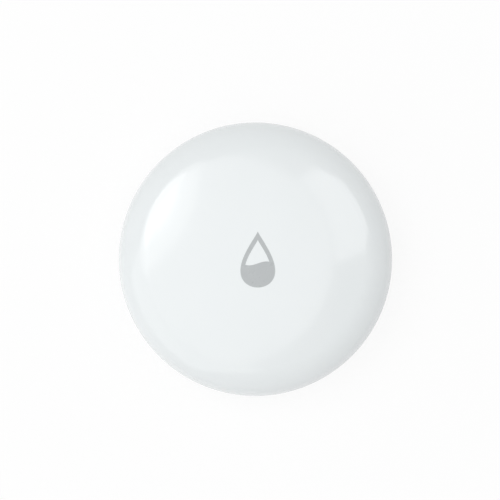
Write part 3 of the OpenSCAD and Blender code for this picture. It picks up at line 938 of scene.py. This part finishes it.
def makeCapacitors(shape):
    middle = shape["height"] / 2
    endAt = (shape["length"] - shape["endLength"]) / 2
    inset = 2 * shape["bodyInset"]
    body = (shape["length"] - 2 * shape["endLength"], shape["width"] - inset, shape["height"] - inset)
    end = (shape["endLength"], shape["width"], shape["height"])
    unit = makeBlocks("capacitor", [
        (body, (0, 0, middle), False),
        (end, (-endAt, 0, middle), True),
        (end, (endAt, 0, middle), True),
    ], shape["edgeRound"])
    width = (shape["columns"] - 1) * shape["pitch"]
    depth = (shape["rows"] - 1) * shape["pitch"]
    return makeOnGrid(
        "chipCapacitors", unit, firedCeramic, tinnedSolder, shape["columns"], shape["rows"], width, depth,
        (shape["first"][0] + width / 2, shape["first"][1] + depth / 2, boardTop))


standFor(makeCapacitors(capacitorShape), "chip_capacitors")

# Pads: the solder at the foot of the radio chip, ten on each of two sides, then on the other two
padShape = {
    "width": 0.28, "length": 0.34, "height": 0.1, "edgeRound": 0.04, "count": 10, "pitch": 0.5,
    "chipSide": 6.0, "chipAt": (-9.5, 5.0), "gap": 0.03,
}


def makePads(name, shape, alongX):
    size = (shape["width"], shape["length"], shape["height"])
    if not alongX:
        size = (shape["length"], shape["width"], shape["height"])
    unit = makeBlocks("pad", [(size, (0, 0, shape["height"] / 2), False)], shape["edgeRound"])
    run = (shape["count"] - 1) * shape["pitch"]
    apart = shape["chipSide"] + shape["length"] + 2 * shape["gap"]
    counts = (shape["count"], 2) if alongX else (2, shape["count"])
    spans = (run, apart) if alongX else (apart, run)
    piece = makeOnGrid(
        name, unit, tinnedSolder, tinnedSolder, *counts, *spans, (*shape["chipAt"], boardTop))
    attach(piece, "housing")


makePads("chipPadsX", padShape, True)
makePads("chipPadsY", padShape, False)

# Vias: small plated rings along the edge of the board, none beside the antenna
viaShape = {
    "inner": 0.14, "outer": 0.28, "height": 0.03, "count": 48, "reach": 20.05, "firstAngle": 2.0,
    "keepBelow": 14.0, "around": 16,
}
viaRing = [
    (viaShape["inner"], boardTop),
    (viaShape["outer"], boardTop),
    (viaShape["outer"], boardTop + viaShape["height"]),
    (viaShape["inner"], boardTop + viaShape["height"]),
    (viaShape["inner"], boardTop),
]
boardVias = makeTurned(
    "boardVias", viaRing, tinnedSolder, viaShape["around"], count=viaShape["count"],
    reach=viaShape["reach"], first=viaShape["firstAngle"], keepBelow=viaShape["keepBelow"])
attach(boardVias, "housing")

# Coin cell: a can drawn up around its cap, with a narrow groove between the two
cellShape = {
    "radius": 10.0, "low": 2.25, "height": 3.2, "canRound": 0.45, "canFrom": -86, "crimpRound": 0.5,
    "crimpWidth": 0.95, "crimpSlope": 0.06, "capRadius": 8.7, "capRound": 0.25, "capStep": 0.3,
    "grooveDepth": 0.22, "baseInsets": (2.2, 2.1, 1.2), "baseStep": 0.04,
    "canSteps": 8, "capSteps": 6, "around": 144, "sharpFrom": 35,
}


def cellProfile(shape):
    low, top, radius = shape["low"], shape["low"] + shape["height"], shape["radius"]
    can, crimp, cap = shape["canRound"], shape["crimpRound"], shape["capRound"]
    flatEnd, stepEnd, roundStart = (radius - inset for inset in shape["baseInsets"])
    canTop = top - shape["capStep"]
    groove = canTop - shape["grooveDepth"]
    crimpEdge = radius - shape["crimpWidth"]
    stepped = low + shape["baseStep"]
    points = [(0.0, low), (flatEnd, low), (stepEnd, stepped), (roundStart, stepped)]
    points += arcPoints((radius - can, low + can), can, shape["canFrom"], 0, shape["canSteps"])
    points += arcPoints((radius - crimp, canTop - crimp), crimp, 0, 90, shape["canSteps"])
    points.append((crimpEdge, canTop))
    points.append((crimpEdge - shape["crimpSlope"], groove))
    points.append((shape["capRadius"], groove))
    points += arcPoints((shape["capRadius"] - cap, top - cap), cap, 0, 90, shape["capSteps"])
    points.append((0.0, top))
    return points


standFor(makeTurned(
    "coinCell", cellProfile(cellShape), nickelPlatedCan, cellShape["around"],
    sharpFrom=cellShape["sharpFrom"]), "coin_cell")

# Probes: turned pins with a softly domed contact face, a groove around it and a dimple in its middle
probeShape = {
    "headRadius": 1.5, "tip": 0.3, "headTop": 1.3, "shankRadius": 0.9,
    "shankTop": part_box("probe_pins")[1].z / mm,
    "dome": 0.06, "edgeRound": 0.16, "collarRound": 0.05, "endRound": 0.25,
    "dimple": 0.24, "dimpleDepth": 0.1, "dimpleHalfway": 0.75,  # share of the depth left halfway out
    "faceRings": (0.4, 0.6), "groove": (0.82, 1.02), "grooveDepth": 0.09, "grooveSlope": 0.05,
    "edgeSteps": 6, "collarSteps": 3, "endSteps": 5, "reach": 17.775, "count": 2, "around": 72,
}


def probeProfile(shape):
    head, edge = shape["headRadius"], shape["edgeRound"]
    end, collar = shape["endRound"], shape["collarRound"]
    flat = head - edge
    inner, outer = shape["groove"]
    slope, deep, dimple = shape["grooveSlope"], shape["grooveDepth"], shape["dimple"]
    # the contact face from its middle outwards: dimple, face, groove, face
    steps = [
        (0.0, shape["dimpleDepth"]),
        (dimple / 2, shape["dimpleDepth"] * shape["dimpleHalfway"]),
        (dimple, 0.0),
    ]
    steps += [(ring, 0.0) for ring in shape["faceRings"]]
    steps += [(inner, 0.0), (inner + slope, deep), (outer - slope, deep), (outer, 0.0)]
    steps += [((outer + flat) / 2, 0.0), (flat, 0.0)]
    points = [(r, shape["tip"] + shape["dome"] * (r / flat) ** 2 + depth) for r, depth in steps]
    points += arcPoints((flat, shape["tip"] + shape["dome"] + edge), edge, -90, 0, shape["edgeSteps"])[1:]
    points += arcPoints((head - collar, shape["headTop"] - collar), collar, 0, 90, shape["collarSteps"])
    points.append((shape["shankRadius"], shape["headTop"]))
    points += arcPoints(
        (shape["shankRadius"] - end, shape["shankTop"] - end), end, 0, 90, shape["endSteps"])
    points.append((0.0, shape["shankTop"]))
    return points


standFor(makeTurned(
    "probeTips", probeProfile(probeShape), platedTurnedBrass, probeShape["around"],
    count=probeShape["count"], reach=probeShape["reach"]), "probe_pins")
print("pieces made")

# Studio: a pale floor that fades to white, an even sky, and panels over, beside and under the object
studio = {
    "floorSize": 4.0,
    "floorTone": "#FDFDFD",
    "whiteShare": 0.85,  # how much of the floor's white is its own, the rest takes the shadow
    "shadowReach": (0.03, 0.16),  # between these distances the floor turns all white, up to the horizon
    "windowReach": (0.018, 0.027),  # between these distances the light from below fades
    "beyondWindow": 0.2,  # the share of it that is left farther out
    "skyStrength": 0.54,
}
nearlyUpright = 0.05  # a lamp this near to straight above or below has no level side of its own
lamps = {
    "overheadPanel": {
        "at": (-0.040, -0.005, 0.60), "size": (0.50, 0.50), "shape": "DISK", "power": 0.462,
    },
    "lowLeftPanel": {
        "at": (-0.479, -0.336, 0.546), "size": (1.00, 1.08), "shape": "RECTANGLE", "power": 1.74,
        "startsPast": "overheadPanel",
    },
    "sidePanel": {
        "at": (-0.289, 0.167, 0.523), "size": (0.28, 0.31), "shape": "ELLIPSE", "power": 0.303,
    },
    "sideGlowPanel": {
        "at": (-0.298, 0.159, 0.520), "size": (0.46, 0.42), "shape": "ELLIPSE", "power": 0.39,
    },
    "upperRightPanel": {
        "at": (0.331, 0.168, 0.594), "size": (0.25, 0.365), "shape": "RECTANGLE", "power": 0.285,
        "startsPast": "overheadPanel",
    },
    # shines up through the floor from one side, so that the underside shows its relief
    "underPanel": {
        "at": (-0.35, -0.17, -0.45), "size": (0.40, 0.40), "shape": "RECTANGLE", "power": 1.9,
    },
}


# one where the background is seen as it is: straight, in a reflection or through something clear
def seenAsIs(tree, ray):
    straight = addNode(tree, "ShaderNodeMath", {
        0: ray["Is Camera Ray"],
        1: ray["Is Glossy Ray"],
    }, operation="MAXIMUM").outputs[0]
    return addNode(tree, "ShaderNodeMath", {
        0: straight,
        1: ray["Is Transmission Ray"],
    }, operation="MAXIMUM").outputs[0]


def makeFloor(setup):
    material = bpy.data.materials.new("whitePaperFloor")
    tree = emptyTree(material)
    ray = addNode(tree, "ShaderNodeLightPath").outputs
    side = addNode(tree, "ShaderNodeNewGeometry").outputs["Backfacing"]
    paper = addNode(tree, "ShaderNodeBsdfDiffuse", {"Color": hexColor(setup["floorTone"])}).outputs[0]
    white = addNode(tree, "ShaderNodeEmission", {"Strength": 1.0}).outputs[0]
    place = addNode(tree, "ShaderNodeTexCoord").outputs["Object"]
    away = addNode(tree, "ShaderNodeVectorMath", {0: place}, operation="LENGTH").outputs["Value"]
    # mirrored in the case, the floor near it shows all of its shadow
    nearWhite = addNode(tree, "ShaderNodeMix", {
        0: ray["Is Glossy Ray"],
        2: setup["whiteShare"],
        3: 0.0,
    }, data_type="FLOAT").outputs[0]
    near, far = setup["shadowReach"]
    ownWhite = addNode(tree, "ShaderNodeMapRange", {
        "Value": away,
        "From Min": near,
        "From Max": far,
        "To Min": nearWhite,
        "To Max": 1.0,
    }, interpolation_type="SMOOTHSTEP").outputs[0]
    share = addNode(tree, "ShaderNodeMath", {0: seenAsIs(tree, ray), 1: ownWhite}, operation="MULTIPLY")
    top = addNode(tree, "ShaderNodeMixShader", {0: share.outputs[0], 1: paper, 2: white}).outputs[0]
    # light from below comes up mostly under the case, so that it doesn't wash out the flanks
    edge, end = setup["windowReach"]
    window = addNode(tree, "ShaderNodeMapRange", {
        "Value": away,
        "From Min": edge,
        "From Max": end,
        "To Min": 1.0,
        "To Max": setup["beyondWindow"],
    }, interpolation_type="SMOOTHSTEP").outputs[0]
    fromBelow = addNode(tree, "ShaderNodeMath", {
        0: ray["Is Shadow Ray"],
        1: window,
    }, operation="MULTIPLY").outputs[0]
    # seen from below, the floor isn't there
    letThrough = addNode(tree, "ShaderNodeMath", {0: side, 1: fromBelow}, operation="MAXIMUM")
    clear = addNode(tree, "ShaderNodeBsdfTransparent").outputs[0]
    mixed = addNode(tree, "ShaderNodeMixShader", {0: letThrough.outputs[0], 1: top, 2: clear})
    addNode(tree, "ShaderNodeOutputMaterial", {"Surface": mixed.outputs[0]})
    half = setup["floorSize"] / 2
    mesh = bpy.data.meshes.new("studioFloor")
    corners = [(-half, -half, 0), (half, -half, 0), (half, half, 0), (-half, half, 0)]
    mesh.from_pydata(corners, [], [(0, 1, 2, 3)])
    mesh.materials.append(material)
    addPiece("studioFloor", mesh)


def makeSky(setup):
    world = bpy.data.worlds.new("studioSky")
    tree = emptyTree(world)
    ray = addNode(tree, "ShaderNodeLightPath").outputs
    white = (1, 1, 1, 1)
    light = addNode(tree, "ShaderNodeBackground", {
        "Color": white,
        "Strength": setup["skyStrength"],
    }).outputs[0]
    shown = addNode(tree, "ShaderNodeBackground", {"Color": white, "Strength": 1.0}).outputs[0]
    mixed = addNode(tree, "ShaderNodeMixShader", {0: seenAsIs(tree, ray), 1: light, 2: shown})
    addNode(tree, "ShaderNodeOutputWorld", {"Surface": mixed.outputs[0]})
    scene.world = world


# the panel shines only past the edge of the disc, as seen from the object, so that the two don't add up
def startPast(data, disc):
    tree = emptyTree(data)
    at = addNode(tree, "ShaderNodeNewGeometry").outputs["Position"]
    height = addNode(tree, "ShaderNodeSeparateXYZ", {0: at}).outputs["Z"]
    # where the line from the object to the panel crosses the disc's height
    share = addNode(tree, "ShaderNodeMath", {0: disc["at"][2], 1: height}, operation="DIVIDE").outputs[0]
    crossing = addNode(tree, "ShaderNodeVectorMath", {
        0: at,
        "Scale": share,
    }, operation="SCALE").outputs[0]
    away = addNode(tree, "ShaderNodeVectorMath", {
        0: crossing,
        1: disc["at"],
    }, operation="DISTANCE").outputs["Value"]
    past = addNode(tree, "ShaderNodeMath", {
        0: away,
        1: disc["size"][0] / 2,
    }, operation="GREATER_THAN").outputs[0]
    light = addNode(tree, "ShaderNodeEmission", {"Strength": past}).outputs[0]
    addNode(tree, "ShaderNodeOutputLight", {"Surface": light})


def makeLamp(name, setup):
    data = bpy.data.lights.new(name, "AREA")
    if "startsPast" in setup:
        startPast(data, lamps[setup["startsPast"]])
    data.shape = setup["shape"]
    data.size, data.size_y = setup["size"]
    data.energy = setup["power"]
    lamp = bpy.data.objects.new(name, data)
    lamp.location = setup["at"]
    # the lamp faces the object, with its first side level
    outward = Vector(setup["at"]).normalized()
    level = Vector((0, 0, 1)).cross(outward)
    level = level.normalized() if level.length > nearlyUpright else Vector((1, 0, 0))
    lamp.rotation_euler = Matrix((level, outward.cross(level), outward)).transposed().to_euler()
    lamp.visible_camera = False
    scene.collection.objects.link(lamp)


makeFloor(studio)
makeSky(studio)
for lampName, setup in lamps.items():
    makeLamp(lampName, setup)
print("studio lit by", len(lamps), "lamps")
